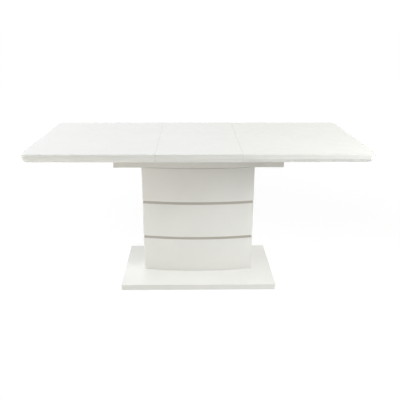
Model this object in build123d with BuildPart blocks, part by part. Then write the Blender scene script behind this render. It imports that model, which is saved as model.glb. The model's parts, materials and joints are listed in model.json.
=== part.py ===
"""Extendable dining table on a bowed pedestal, drawn open with its leaf in place.

Millimetres. The origin is on the floor under the table's centre, +X along the table,
+Y towards its back, +Z up. The two half tops slide apart along X, the leaf lifts off along Z.
"""

import math
import os

from build123d import *

# ---------------------------------------------------------------- driving dimensions
TABLE_LENGTH = 1600.0
TABLE_DEPTH = 800.0
TABLE_HEIGHT = 750.0
LEAF_LENGTH = 395.0

# Edge of the top: an upright face with a rounded arris, then an undercut
TOP_THICKNESS = 38.0
UNDERCUT_HEIGHT = 16.0
UNDERCUT_INSET = 12.0
TOP_CORNER_RADIUS = 29.0
PANEL_ARRIS_RADIUS = 4.5
LEAF_ARRIS_RADIUS = 1.5
SEAM_GAP = 0.4  # at each end of the leaf

# Base
BASE_LENGTH = 796.0
BASE_DEPTH = 518.0
BASE_THICKNESS = 30.0
BASE_CORNER_RADIUS = 4.0
BASE_ARRIS_RADIUS = 2.0
GLIDE_RADIUS = 19.0
GLIDE_THICKNESS = 2.0
GLIDE_CHAMFER = 0.6
GLIDE_PEG_RADIUS = 4.0
GLIDE_PEG_LENGTH = 14.0
GLIDE_INSET = 46.0

# Column: three hollow segments with a steel-edged spacer board between each two
COLUMN_LENGTH = 584.0
COLUMN_DEPTH_MIDDLE = 187.0
COLUMN_DEPTH_END = 128.0
COLUMN_CORNER_RADIUS = 7.0
SHELL_THICKNESS = 14.0
CHEEK_DEPTH = 104.0
SEGMENT_HEIGHTS = {"lower": 183.0, "middle": 181.0, "upper": 179.0}
FORMER_THICKNESS = 16.0
GLUE_GAP = 0.3
STRIP_HEIGHT = 14.0
STRIP_RECESS = 2.5
STRIP_THICKNESS = 0.8
STRIP_END_GAP = 0.5

# Neck between the column and the frame, with a thin shadow groove at its foot
FRAME_BOTTOM = 654.0
GROOVE_HEIGHT = 2.0
GROOVE_DEPTH = 6.0

# Tie rods that clamp the base, the column and the frame together
ROD_RADIUS = 5.0
ROD_HOLE_RADIUS = 5.25
ROD_SPACING_X = 380.0
ROD_SPACING_Y = 70.0
ROD_END_CLEARANCE = 3.0
ROD_CHAMFER = 1.0
THREAD_GAP = 0.05
PRESS_GAP = 0.1
NUT_ACROSS_FLATS = 16.0
NUT_HEIGHT = 8.0
WASHER_RADIUS = 10.0
WASHER_THICKNESS = 2.0
COUNTERBORE_RADIUS = 14.0
COUNTERBORE_DEPTH = 12.0
CLAMP_PLATE_LENGTH = 480.0
CLAMP_PLATE_DEPTH = 150.0
CLAMP_PLATE_THICKNESS = 6.0
CLAMP_PLATE_CORNER_RADIUS = 8.0

# Frame under the top
FRAME_LENGTH = 812.0
FRAME_DEPTH = 520.0
FRAME_BOARD = 18.0
FRAME_TOP_CLEARANCE = 2.0
FLOOR_THICKNESS = 15.0
NOTCH_FLOOR_CLEARANCE = 2.0
BRACKET_LEG = 30.0
BRACKET_WIDTH = 18.0
BRACKET_THICKNESS = 2.0
BRACKET_Y = 120.0
BRACKET_HOLE_OFFSET = 18.0
PAD_LENGTH = 60.0
PAD_WIDTH = 12.0
PAD_CORNER_RADIUS = 3.0
PAD_X = 90.0

# Slides: a fixed rail on the frame, a moving rail on the batten, a cage of balls between
SLIDE_THICKNESS = 12.7
SLIDE_LENGTH = 385.0
SLIDE_OUTER_END = 402.0
SLIDE_SHEET = 1.2
SLIDE_CORNER_RADIUS = 1.5
SLIDE_SCREW_OFFSETS = (43.0, 193.0, 343.0)
FIXED_RAIL_HEIGHT = 35.0
FIXED_RAIL_THICKNESS = 11.0
FIXED_RAIL_LIP = 1.7
MOVING_RAIL_HEIGHT = 22.0
MOVING_RAIL_START = 4.6
CAGE_LENGTH = 140.0
CAGE_SHEET = 0.8
CAGE_START = 3.2
CAGE_END = 9.2
CAGE_FLANGE = 1.0
BALL_RADIUS = 2.35
BALL_HOLE_RADIUS = 2.6
BALL_HEIGHT = 13.65
BALL_DEPTH = 6.8
BALL_PITCH = 22.0
BALLS_PER_ROW = 6

# Battens and braces under the half tops
BATTEN_THICKNESS = 18.0
BATTEN_HEIGHT = 38.0
BATTEN_INNER_END = 212.0
BATTEN_OUTER_END = 640.0
BRACE_THICKNESS = 18.0
BATTEN_CHAMFER = 1.5

# Pan head screws, and pegs that locate the leaf
SCREW_RADIUS = 1.9
SCREW_HOLE_RADIUS = 2.0
SCREW_LENGTH = 10.0
SCREW_HEAD_RADIUS = 3.6
SCREW_HEAD_HEIGHT = 1.5
SCREW_HEAD_ROUND = 0.8
SCREW_POINT_CHAMFER = 0.8
PEG_RADIUS = 4.0
PEG_IN_LEAF = 12.0
PEG_BELOW_LEAF = 10.0
PEG_X = 150.0
PEG_CLEARANCE = 0.4
PEG_CHAMFER = 1.2
BLIND_HOLE_EXTRA = 1.0
PEG_SOCKET_EXTRA = 4.0

# ---------------------------------------------------------------- derived heights and places
BASE_TOP = GLIDE_THICKNESS + BASE_THICKNESS
TOP_UNDERSIDE = TABLE_HEIGHT - TOP_THICKNESS
SHOULDER = TOP_UNDERSIDE + UNDERCUT_HEIGHT
FRAME_TOP = TOP_UNDERSIDE - FRAME_TOP_CLEARANCE
FLOOR_TOP = FRAME_BOTTOM + FLOOR_THICKNESS
CLAMP_PLATE_TOP = FLOOR_TOP + CLAMP_PLATE_THICKNESS
FRAME_INNER_Y = FRAME_DEPTH / 2 - FRAME_BOARD
FRAME_INNER_X = FRAME_LENGTH / 2 - FRAME_BOARD
BATTEN_OUTER_Y = FRAME_INNER_Y - SLIDE_THICKNESS
BATTEN_INNER_Y = BATTEN_OUTER_Y - BATTEN_THICKNESS
BATTEN_BOTTOM = TOP_UNDERSIDE - BATTEN_HEIGHT
SLIDE_Z = TOP_UNDERSIDE - BATTEN_HEIGHT / 2
SLIDE_TRAVEL = LEAF_LENGTH / 2
NOTCH_INNER_Y = BATTEN_INNER_Y - NOTCH_FLOOR_CLEARANCE
NOTCH_FLOOR = FLOOR_TOP + NOTCH_FLOOR_CLEARANCE
BRACKET_SCREW_X = FRAME_INNER_X - BRACKET_HOLE_OFFSET
BRACKET_SCREW_Z = FLOOR_TOP + BRACKET_HOLE_OFFSET

# Each segment's lowest and highest z, from the base upwards
SEGMENTS = {}
z = BASE_TOP
for segment, height in SEGMENT_HEIGHTS.items():
    SEGMENTS[segment] = (z, z + height)
    z += height + STRIP_HEIGHT
COLUMN_TOP = SEGMENTS["upper"][1]
SPACERS = {"lower": SEGMENTS["lower"][1], "upper": SEGMENTS["middle"][1]}

RAIL_SCREW_XS = [SLIDE_OUTER_END - SLIDE_LENGTH + offset for offset in SLIDE_SCREW_OFFSETS]
CAGE_MIDDLE = SLIDE_OUTER_END - SLIDE_LENGTH / 2 + SLIDE_TRAVEL / 2
BALL_XS = [CAGE_MIDDLE + BALL_PITCH * (i - (BALLS_PER_ROW - 1) / 2) for i in range(BALLS_PER_ROW)]

os.makedirs("parts", exist_ok=True)


def save(builder, name):
    """Labels the finished piece and writes its STEP file."""
    builder.part.label = name
    export_step(builder.part, f"parts/{name}.step")


def save_pair(left, kind):
    """Saves a left piece and its mirror image on the right."""
    with BuildPart() as right:
        mirror(left.part, about=Plane.YZ)
    save(left, f"left_{kind}")
    save(right, f"right_{kind}")


def save_four(left_front, kind):
    """Saves a left front piece and its mirror images at the other three corners."""
    with BuildPart() as left_back:
        mirror(left_front.part, about=Plane.XZ)
    save_pair(left_front, f"front_{kind}")
    save_pair(left_back, f"back_{kind}")


# ---------------------------------------------------------------- shared plan outlines
with BuildSketch() as column_outline:
    with BuildLine():
        front_bow = ThreePointArc(
            (-COLUMN_LENGTH / 2, -COLUMN_DEPTH_END / 2),
            (0, -COLUMN_DEPTH_MIDDLE / 2),
            (COLUMN_LENGTH / 2, -COLUMN_DEPTH_END / 2),
        )
        back_bow = ThreePointArc(
            (COLUMN_LENGTH / 2, COLUMN_DEPTH_END / 2),
            (0, COLUMN_DEPTH_MIDDLE / 2),
            (-COLUMN_LENGTH / 2, COLUMN_DEPTH_END / 2),
        )
        Line(front_bow @ 1, back_bow @ 0)
        Line(back_bow @ 1, front_bow @ 0)
    make_face()
    fillet(column_outline.vertices(), radius=COLUMN_CORNER_RADIUS)


def column_inset(distance):
    """The column's plan, drawn in from its outer face by a distance."""
    with BuildSketch() as inset:
        add(column_outline.sketch)
        offset(amount=-distance, kind=Kind.INTERSECTION, mode=Mode.REPLACE)
    return inset.sketch


shell_inside = column_inset(SHELL_THICKNESS)
former_outline = column_inset(SHELL_THICKNESS + GLUE_GAP)
strip_outside = column_inset(STRIP_RECESS)
strip_inside = column_inset(STRIP_RECESS + STRIP_THICKNESS)
spacer_outline = column_inset(STRIP_RECESS + STRIP_THICKNESS + GLUE_GAP)
groove_outline = column_inset(GROOVE_DEPTH)

rod_spots = GridLocations(ROD_SPACING_X, ROD_SPACING_Y, 2, 2)

with BuildSketch() as rod_holes:
    with rod_spots:
        Circle(ROD_HOLE_RADIUS)

# A pan head screw at the origin: the head stands up along +Z, the shank points down
with BuildPart() as pan_head_screw:
    Cylinder(SCREW_HEAD_RADIUS, SCREW_HEAD_HEIGHT, align=(Align.CENTER, Align.CENTER, Align.MIN))
    fillet(pan_head_screw.edges().sort_by(Axis.Z)[-1], radius=SCREW_HEAD_ROUND)
    Cylinder(SCREW_RADIUS, SCREW_LENGTH, align=(Align.CENTER, Align.CENTER, Align.MAX))
    chamfer(pan_head_screw.edges().sort_by(Axis.Z)[0], length=SCREW_POINT_CHAMFER)


# ---------------------------------------------------------------- base plate and glides
glide_spots = GridLocations(BASE_LENGTH / 2 - GLIDE_INSET, BASE_DEPTH - 2 * GLIDE_INSET, 3, 2)

with BuildPart() as base_plate:
    with BuildSketch(Plane.XY.offset(GLIDE_THICKNESS)) as base_outline:
        Rectangle(BASE_LENGTH, BASE_DEPTH)
        fillet(base_outline.vertices(), radius=BASE_CORNER_RADIUS)
    extrude(amount=BASE_THICKNESS)
    fillet(base_plate.edges().group_by(Axis.Z)[-1], radius=BASE_ARRIS_RADIUS)
    with BuildSketch(Plane.XY.offset(GLIDE_THICKNESS)):
        add(rod_holes.sketch)
    extrude(amount=BASE_THICKNESS, mode=Mode.SUBTRACT)
    with BuildSketch(Plane.XY.offset(GLIDE_THICKNESS)):
        with rod_spots:
            Circle(COUNTERBORE_RADIUS)
    extrude(amount=COUNTERBORE_DEPTH, mode=Mode.SUBTRACT)
    with BuildSketch(Plane.XY.offset(GLIDE_THICKNESS)):
        with glide_spots:
            Circle(GLIDE_PEG_RADIUS + PRESS_GAP)
    extrude(amount=GLIDE_PEG_LENGTH + BLIND_HOLE_EXTRA, mode=Mode.SUBTRACT)
save(base_plate, "base_plate")

with BuildPart() as base_glides:
    with BuildSketch():
        with glide_spots:
            Circle(GLIDE_RADIUS)
    extrude(amount=GLIDE_THICKNESS)
    chamfer(base_glides.edges().group_by(Axis.Z)[0], length=GLIDE_CHAMFER)
    with BuildSketch(Plane.XY.offset(GLIDE_THICKNESS)):
        with glide_spots:
            Circle(GLIDE_PEG_RADIUS)
    extrude(amount=GLIDE_PEG_LENGTH)
save(base_glides, "base_glides")


# ---------------------------------------------------------------- column
for segment, (bottom, top) in SEGMENTS.items():
    # Bowed front shell, with the column's rounded corners at its ends
    with BuildPart() as front_shell:
        with BuildSketch(Plane.XY.offset(bottom)):
            add(column_outline.sketch)
            add(shell_inside, mode=Mode.SUBTRACT)
            with Locations((0, -CHEEK_DEPTH / 2)):
                Rectangle(
                    COLUMN_LENGTH,
                    COLUMN_DEPTH_MIDDLE,
                    align=(Align.CENTER, Align.MAX),
                    mode=Mode.INTERSECT,
                )
        extrude(amount=top - bottom)
    save(front_shell, f"{segment}_front_shell")

    with BuildPart() as back_shell:
        mirror(front_shell.part, about=Plane.XZ)
    save(back_shell, f"{segment}_back_shell")

    # Flat cheek that closes the end between the two shells
    with BuildPart() as left_cheek:
        with BuildSketch(Plane.XY.offset(bottom)):
            with Locations((-COLUMN_LENGTH / 2, 0)):
                Rectangle(SHELL_THICKNESS, CHEEK_DEPTH, align=(Align.MIN, Align.CENTER))
        extrude(amount=top - bottom)
    save(left_cheek, f"{segment}_left_cheek")

    with BuildPart() as right_cheek:
        mirror(left_cheek.part, about=Plane.YZ)
    save(right_cheek, f"{segment}_right_cheek")

    # Two equal formers inside, at the segment's foot and head, that hold the shells' bow
    with BuildPart() as formers:
        for former_z in (bottom, top - FORMER_THICKNESS):
            with BuildSketch(Plane.XY.offset(former_z)):
                add(former_outline)
                add(rod_holes.sketch, mode=Mode.SUBTRACT)
            extrude(amount=FORMER_THICKNESS)
    save(formers, f"{segment}_formers")

for place, bottom in SPACERS.items():
    with BuildPart() as spacer:
        with BuildSketch(Plane.XY.offset(bottom)):
            add(spacer_outline)
            add(rod_holes.sketch, mode=Mode.SUBTRACT)
        extrude(amount=STRIP_HEIGHT)
    save(spacer, f"{place}_spacer")

    # Steel strip bent round the spacer's front half; its ends meet the back strip's
    with BuildPart() as front_strip:
        with BuildSketch(Plane.XY.offset(bottom)):
            add(strip_outside)
            add(strip_inside, mode=Mode.SUBTRACT)
            with Locations((0, -STRIP_END_GAP / 2)):
                Rectangle(
                    COLUMN_LENGTH,
                    COLUMN_DEPTH_MIDDLE,
                    align=(Align.CENTER, Align.MAX),
                    mode=Mode.INTERSECT,
                )
        extrude(amount=STRIP_HEIGHT)
    save(front_strip, f"{place}_front_strip")

    with BuildPart() as back_strip:
        mirror(front_strip.part, about=Plane.XZ)
    save(back_strip, f"{place}_back_strip")

# Neck: a thin board, drawn in all round, leaves a shadow groove under a block of the same
# plan as the column
with BuildPart() as neck_spacer:
    with BuildSketch(Plane.XY.offset(COLUMN_TOP)):
        add(groove_outline)
        add(rod_holes.sketch, mode=Mode.SUBTRACT)
    extrude(amount=GROOVE_HEIGHT)
save(neck_spacer, "neck_spacer")

with BuildPart() as neck_block:
    with BuildSketch(Plane.XY.offset(COLUMN_TOP + GROOVE_HEIGHT)):
        add(column_outline.sketch)
        add(rod_holes.sketch, mode=Mode.SUBTRACT)
    extrude(amount=FRAME_BOTTOM - COLUMN_TOP - GROOVE_HEIGHT)
save(neck_block, "neck_block")


# ---------------------------------------------------------------- tie rods and their fixings
rod_bottom = GLIDE_THICKNESS + ROD_END_CLEARANCE
washer_levels = (GLIDE_THICKNESS + COUNTERBORE_DEPTH - WASHER_THICKNESS, CLAMP_PLATE_TOP)
nut_levels = (washer_levels[0] - NUT_HEIGHT, CLAMP_PLATE_TOP + WASHER_THICKNESS)
rod_top = nut_levels[1] + NUT_HEIGHT + ROD_END_CLEARANCE

with BuildPart() as tie_rods:
    with BuildSketch(Plane.XY.offset(rod_bottom)):
        with rod_spots:
            Circle(ROD_RADIUS)
    extrude(amount=rod_top - rod_bottom)
    chamfer(tie_rods.edges().group_by(Axis.Z)[-1], length=ROD_CHAMFER)
    chamfer(tie_rods.edges().group_by(Axis.Z)[0], length=ROD_CHAMFER)
save(tie_rods, "tie_rods")

with BuildPart() as rod_washers:
    for level in washer_levels:
        with BuildSketch(Plane.XY.offset(level)):
            with rod_spots:
                Circle(WASHER_RADIUS)
            add(rod_holes.sketch, mode=Mode.SUBTRACT)
        extrude(amount=WASHER_THICKNESS)
save(rod_washers, "rod_washers")

with BuildPart() as rod_nuts:
    for level in nut_levels:
        with BuildSketch(Plane.XY.offset(level)):
            with rod_spots:
                RegularPolygon(NUT_ACROSS_FLATS / 2, 6, major_radius=False)
                Circle(ROD_RADIUS + THREAD_GAP, mode=Mode.SUBTRACT)
        extrude(amount=NUT_HEIGHT)
save(rod_nuts, "rod_nuts")

with BuildPart() as clamp_plate:
    with BuildSketch(Plane.XY.offset(FLOOR_TOP)) as plate_outline:
        Rectangle(CLAMP_PLATE_LENGTH, CLAMP_PLATE_DEPTH)
        fillet(plate_outline.vertices(), radius=CLAMP_PLATE_CORNER_RADIUS)
        add(rod_holes.sketch, mode=Mode.SUBTRACT)
    extrude(amount=CLAMP_PLATE_THICKNESS)
save(clamp_plate, "clamp_plate")


# ---------------------------------------------------------------- frame
peg_spots = GridLocations(2 * PEG_X, FRAME_DEPTH - FRAME_BOARD, 2, 2)
rail_screw_signs = [side * x for side in (-1, 1) for x in RAIL_SCREW_XS]

with BuildPart() as frame_front_rail:
    with BuildSketch(Plane.XY.offset(FRAME_BOTTOM)):
        with Locations((0, -FRAME_DEPTH / 2)):
            Rectangle(FRAME_LENGTH, FRAME_BOARD, align=(Align.CENTER, Align.MIN))
    extrude(amount=FRAME_TOP - FRAME_BOTTOM)
    # Sockets for the leaf's pegs
    with BuildSketch(Plane.XY.offset(FRAME_TOP)):
        with peg_spots:
            Circle(PEG_RADIUS + PEG_CLEARANCE)
    extrude(amount=-(PEG_BELOW_LEAF + PEG_SOCKET_EXTRA), mode=Mode.SUBTRACT)
    # Pilot holes for the fixed rails' screws; the XZ plane's normal is -Y
    with BuildSketch(Plane.XZ.offset(FRAME_INNER_Y)):
        with Locations(*[(x, SLIDE_Z) for x in rail_screw_signs]):
            Circle(SCREW_HOLE_RADIUS)
    extrude(amount=SCREW_LENGTH + BLIND_HOLE_EXTRA, mode=Mode.SUBTRACT)
save(frame_front_rail, "frame_front_rail")

with BuildPart() as frame_back_rail:
    mirror(frame_front_rail.part, about=Plane.XZ)
save(frame_back_rail, "frame_back_rail")

# End board, cut down at both ends so that the battens and moving rails pass over it
with BuildPart() as frame_left_end:
    with BuildSketch(Plane.YZ.offset(-FRAME_LENGTH / 2)):
        with Locations((0, FRAME_BOTTOM)):
            Rectangle(
                2 * FRAME_INNER_Y, NOTCH_FLOOR - FRAME_BOTTOM, align=(Align.CENTER, Align.MIN)
            )
            Rectangle(
                2 * NOTCH_INNER_Y, FRAME_TOP - FRAME_BOTTOM, align=(Align.CENTER, Align.MIN)
            )
    extrude(amount=FRAME_BOARD)
    with BuildSketch(Plane.YZ.offset(-FRAME_INNER_X)):
        with Locations((-BRACKET_Y, BRACKET_SCREW_Z), (BRACKET_Y, BRACKET_SCREW_Z)):
            Circle(SCREW_HOLE_RADIUS)
    extrude(amount=-(SCREW_LENGTH + BLIND_HOLE_EXTRA), mode=Mode.SUBTRACT)
save(frame_left_end, "frame_left_end")

with BuildPart() as frame_right_end:
    mirror(frame_left_end.part, about=Plane.YZ)
save(frame_right_end, "frame_right_end")

bracket_floor_spots = GridLocations(2 * BRACKET_SCREW_X, 2 * BRACKET_Y, 2, 2)

with BuildPart() as frame_floor:
    with BuildSketch(Plane.XY.offset(FRAME_BOTTOM)):
        Rectangle(2 * FRAME_INNER_X, 2 * FRAME_INNER_Y)
        add(rod_holes.sketch, mode=Mode.SUBTRACT)
    extrude(amount=FLOOR_THICKNESS)
    with BuildSketch(Plane.XY.offset(FLOOR_TOP)):
        with bracket_floor_spots:
            Circle(SCREW_HOLE_RADIUS)
    extrude(amount=-(SCREW_LENGTH + BLIND_HOLE_EXTRA), mode=Mode.SUBTRACT)
save(frame_floor, "frame_floor")

with BuildPart() as left_front_bracket:
    with BuildSketch(Plane.XZ.offset(BRACKET_Y - BRACKET_WIDTH / 2)) as bracket_side:
        with Locations((-FRAME_INNER_X, FLOOR_TOP)):
            Rectangle(BRACKET_LEG, BRACKET_THICKNESS, align=(Align.MIN, Align.MIN))
            Rectangle(BRACKET_THICKNESS, BRACKET_LEG, align=(Align.MIN, Align.MIN))
    extrude(amount=BRACKET_WIDTH)
    with BuildSketch(Plane.XY.offset(FLOOR_TOP)):
        with bracket_floor_spots:
            Circle(SCREW_HOLE_RADIUS)
    extrude(amount=BRACKET_THICKNESS, mode=Mode.SUBTRACT)
    with BuildSketch(Plane.YZ.offset(-FRAME_INNER_X)):
        with Locations((-BRACKET_Y, BRACKET_SCREW_Z)):
            Circle(SCREW_HOLE_RADIUS)
    extrude(amount=BRACKET_THICKNESS, mode=Mode.SUBTRACT)

with BuildPart() as frame_brackets:
    add(left_front_bracket.part)
    mirror(about=Plane.XZ)
    mirror(about=Plane.YZ)
save(frame_brackets, "frame_brackets")

with BuildPart() as bracket_screws:
    with Locations((-BRACKET_SCREW_X, -BRACKET_Y, FLOOR_TOP + BRACKET_THICKNESS)):
        add(pan_head_screw.part)
    with Locations((-FRAME_INNER_X + BRACKET_THICKNESS, -BRACKET_Y, BRACKET_SCREW_Z)):
        add(pan_head_screw.part, rotation=(0, 90, 0))
    mirror(about=Plane.XZ)
    mirror(about=Plane.YZ)
save(bracket_screws, "bracket_screws")

with BuildPart() as leaf_pads:
    with BuildSketch(Plane.XY.offset(FRAME_TOP)):
        with GridLocations(2 * PAD_X, FRAME_DEPTH - FRAME_BOARD, 2, 2):
            RectangleRounded(PAD_LENGTH, PAD_WIDTH, PAD_CORNER_RADIUS)
    extrude(amount=FRAME_TOP_CLEARANCE)
save(leaf_pads, "leaf_pads")


# ---------------------------------------------------------------- slides
def at_slide(distance):
    """Y of a point that lies this far in from the front rail's inner face."""
    return distance - FRAME_INNER_Y


with BuildPart() as left_front_fixed_rail:
    with BuildSketch(Plane.YZ.offset(-SLIDE_OUTER_END)) as channel:
        with Locations((at_slide(0), SLIDE_Z)):
            Rectangle(
                FIXED_RAIL_THICKNESS, FIXED_RAIL_HEIGHT, align=(Align.MIN, Align.CENTER)
            )
        fillet(channel.vertices().group_by(Axis.X)[0], radius=SLIDE_CORNER_RADIUS)
        with Locations((at_slide(SLIDE_SHEET), SLIDE_Z)):
            Rectangle(
                FIXED_RAIL_THICKNESS - 2 * SLIDE_SHEET,
                FIXED_RAIL_HEIGHT - 2 * SLIDE_SHEET,
                align=(Align.MIN, Align.CENTER),
                mode=Mode.SUBTRACT,
            )
            Rectangle(
                FIXED_RAIL_THICKNESS,
                FIXED_RAIL_HEIGHT - 2 * (SLIDE_SHEET + FIXED_RAIL_LIP),
                align=(Align.MIN, Align.CENTER),
                mode=Mode.SUBTRACT,
            )
    extrude(amount=SLIDE_LENGTH)
    with BuildSketch(Plane.XZ.offset(FRAME_INNER_Y)):
        with Locations(*[(-x, SLIDE_Z) for x in RAIL_SCREW_XS]):
            Circle(SCREW_HOLE_RADIUS)
    extrude(amount=-SLIDE_SHEET, mode=Mode.SUBTRACT)

with BuildPart() as left_front_moving_rail:
    with BuildSketch(Plane.YZ.offset(-SLIDE_OUTER_END - SLIDE_TRAVEL)) as channel:
        with Locations((at_slide(SLIDE_THICKNESS), SLIDE_Z)):
            Rectangle(
                SLIDE_THICKNESS - MOVING_RAIL_START,
                MOVING_RAIL_HEIGHT,
                align=(Align.MAX, Align.CENTER),
            )
        fillet(channel.vertices().group_by(Axis.X)[-1], radius=SLIDE_CORNER_RADIUS)
        with Locations((at_slide(SLIDE_THICKNESS - SLIDE_SHEET), SLIDE_Z)):
            Rectangle(
                SLIDE_THICKNESS,
                MOVING_RAIL_HEIGHT - 2 * SLIDE_SHEET,
                align=(Align.MAX, Align.CENTER),
                mode=Mode.SUBTRACT,
            )
    extrude(amount=SLIDE_LENGTH)
    with BuildSketch(Plane.XZ.offset(BATTEN_OUTER_Y)):
        with Locations(*[(-x - SLIDE_TRAVEL, SLIDE_Z) for x in RAIL_SCREW_XS]):
            Circle(SCREW_HOLE_RADIUS)
    extrude(amount=SLIDE_SHEET, mode=Mode.SUBTRACT)

# A cage is a channel with a row of holes in each flange; one ball sits in each hole
with BuildPart() as left_front_cage:
    with BuildSketch(Plane.YZ.offset(-CAGE_MIDDLE - CAGE_LENGTH / 2)):
        with Locations((at_slide(CAGE_START), SLIDE_Z)):
            Rectangle(
                CAGE_END - CAGE_START,
                2 * BALL_HEIGHT + CAGE_FLANGE,
                align=(Align.MIN, Align.CENTER),
            )
        with Locations((at_slide(CAGE_START + CAGE_SHEET), SLIDE_Z)):
            Rectangle(
                CAGE_END - CAGE_START,
                2 * BALL_HEIGHT - CAGE_FLANGE,
                align=(Align.MIN, Align.CENTER),
                mode=Mode.SUBTRACT,
            )
    extrude(amount=CAGE_LENGTH)
    with BuildSketch(Plane.XY.offset(SLIDE_Z)):
        with Locations(*[(-x, at_slide(BALL_DEPTH)) for x in BALL_XS]):
            Circle(BALL_HOLE_RADIUS)
    extrude(amount=FIXED_RAIL_HEIGHT / 2, both=True, mode=Mode.SUBTRACT)
    for row_z in (SLIDE_Z - BALL_HEIGHT, SLIDE_Z + BALL_HEIGHT):
        with Locations(*[(-x, at_slide(BALL_DEPTH), row_z) for x in BALL_XS]):
            Sphere(BALL_RADIUS)

save_four(left_front_fixed_rail, "fixed_rail")
save_four(left_front_moving_rail, "moving_rail")

with BuildPart() as left_ball_cages:
    add(left_front_cage.part)
    mirror(about=Plane.XZ)
save_pair(left_ball_cages, "ball_cages")

# The fixed rails' screws point out into the frame, the moving rails' in into the battens
with BuildPart() as fixed_rail_screws:
    with Locations(*[(x, at_slide(SLIDE_SHEET), SLIDE_Z) for x in rail_screw_signs]):
        add(pan_head_screw.part, rotation=(-90, 0, 0))
    mirror(about=Plane.XZ)
save(fixed_rail_screws, "fixed_rail_screws")

moving_screw_y = at_slide(SLIDE_THICKNESS - SLIDE_SHEET)
with BuildPart() as left_rail_screws:
    with Locations(*[(-x - SLIDE_TRAVEL, moving_screw_y, SLIDE_Z) for x in RAIL_SCREW_XS]):
        add(pan_head_screw.part, rotation=(90, 0, 0))
    mirror(about=Plane.XZ)
save_pair(left_rail_screws, "rail_screws")


# ---------------------------------------------------------------- battens and braces
with BuildPart() as left_front_batten:
    with BuildSketch(Plane.XY.offset(BATTEN_BOTTOM)):
        with Locations((-BATTEN_OUTER_END, -BATTEN_OUTER_Y)):
            Rectangle(
                BATTEN_OUTER_END - BATTEN_INNER_END,
                BATTEN_THICKNESS,
                align=(Align.MIN, Align.MIN),
            )
    extrude(amount=BATTEN_HEIGHT)
    chamfer(
        left_front_batten.edges().filter_by(Axis.X).group_by(Axis.Z)[0], length=BATTEN_CHAMFER
    )
    with BuildSketch(Plane.XZ.offset(BATTEN_OUTER_Y)):
        with Locations(*[(-x - SLIDE_TRAVEL, SLIDE_Z) for x in RAIL_SCREW_XS]):
            Circle(SCREW_HOLE_RADIUS)
    extrude(amount=-SCREW_LENGTH, mode=Mode.SUBTRACT)

save_four(left_front_batten, "batten")

with BuildPart() as left_brace:
    with BuildSketch(Plane.XY.offset(BATTEN_BOTTOM)):
        with Locations((-BATTEN_OUTER_END, 0)):
            Rectangle(BRACE_THICKNESS, 2 * BATTEN_OUTER_Y, align=(Align.MAX, Align.CENTER))
    extrude(amount=BATTEN_HEIGHT)
    chamfer(left_brace.edges().filter_by(Axis.Y).group_by(Axis.Z)[0], length=BATTEN_CHAMFER)
save_pair(left_brace, "brace")


# ---------------------------------------------------------------- top
def top_section(start, end, arris_radius):
    """The stretch of the table's top from x = start to x = end, with its profiled edge."""
    with BuildPart() as section:
        with BuildSketch(Plane.XY.offset(SHOULDER)) as top_outline:
            Rectangle(TABLE_LENGTH, TABLE_DEPTH)
            fillet(top_outline.vertices(), radius=TOP_CORNER_RADIUS)
        extrude(amount=TABLE_HEIGHT - SHOULDER)
        fillet(section.edges().group_by(Axis.Z)[-1], radius=arris_radius)
        with BuildSketch(Plane.XY.offset(SHOULDER)):
            add(top_outline.sketch)
        undercut = math.degrees(math.atan2(UNDERCUT_INSET, UNDERCUT_HEIGHT))
        extrude(amount=UNDERCUT_HEIGHT, dir=(0, 0, -1), taper=undercut)
        with BuildSketch(Plane.XY.offset(TOP_UNDERSIDE)):
            with Locations(((start + end) / 2, 0)):
                Rectangle(end - start, TABLE_DEPTH)
        extrude(amount=TOP_THICKNESS, mode=Mode.INTERSECT)
    return section


left_panel = top_section(-TABLE_LENGTH / 2, -LEAF_LENGTH / 2, PANEL_ARRIS_RADIUS)
save(left_panel, "left_panel")

right_panel = top_section(LEAF_LENGTH / 2, TABLE_LENGTH / 2, PANEL_ARRIS_RADIUS)
save(right_panel, "right_panel")

leaf_end = LEAF_LENGTH / 2 - SEAM_GAP
leaf_blank = top_section(-leaf_end, leaf_end, LEAF_ARRIS_RADIUS)

with BuildPart() as leaf_panel:
    add(leaf_blank.part)
    with BuildSketch(Plane.XY.offset(TOP_UNDERSIDE)):
        with peg_spots:
            Circle(PEG_RADIUS + PRESS_GAP)
    extrude(amount=PEG_IN_LEAF + BLIND_HOLE_EXTRA, mode=Mode.SUBTRACT)
save(leaf_panel, "leaf_panel")

with BuildPart() as leaf_pegs:
    with BuildSketch(Plane.XY.offset(TOP_UNDERSIDE - PEG_BELOW_LEAF)):
        with peg_spots:
            Circle(PEG_RADIUS)
    extrude(amount=PEG_BELOW_LEAF + PEG_IN_LEAF)
    chamfer(leaf_pegs.edges().group_by(Axis.Z)[0], length=PEG_CHAMFER)
save(leaf_pegs, "leaf_pegs")
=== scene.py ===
"""Looks of the extendable dining table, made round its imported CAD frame.

Metres, in the CAD's own frame: the origin is on the floor under the table's centre, +X runs
along the table, +Y to its back and +Z up. Each visible piece either stands for a CAD node that
it replaces, or is the CAD node itself with only a finish added.
"""

import json
import math

import bmesh
import bpy
from mathutils import Matrix, Vector

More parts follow.
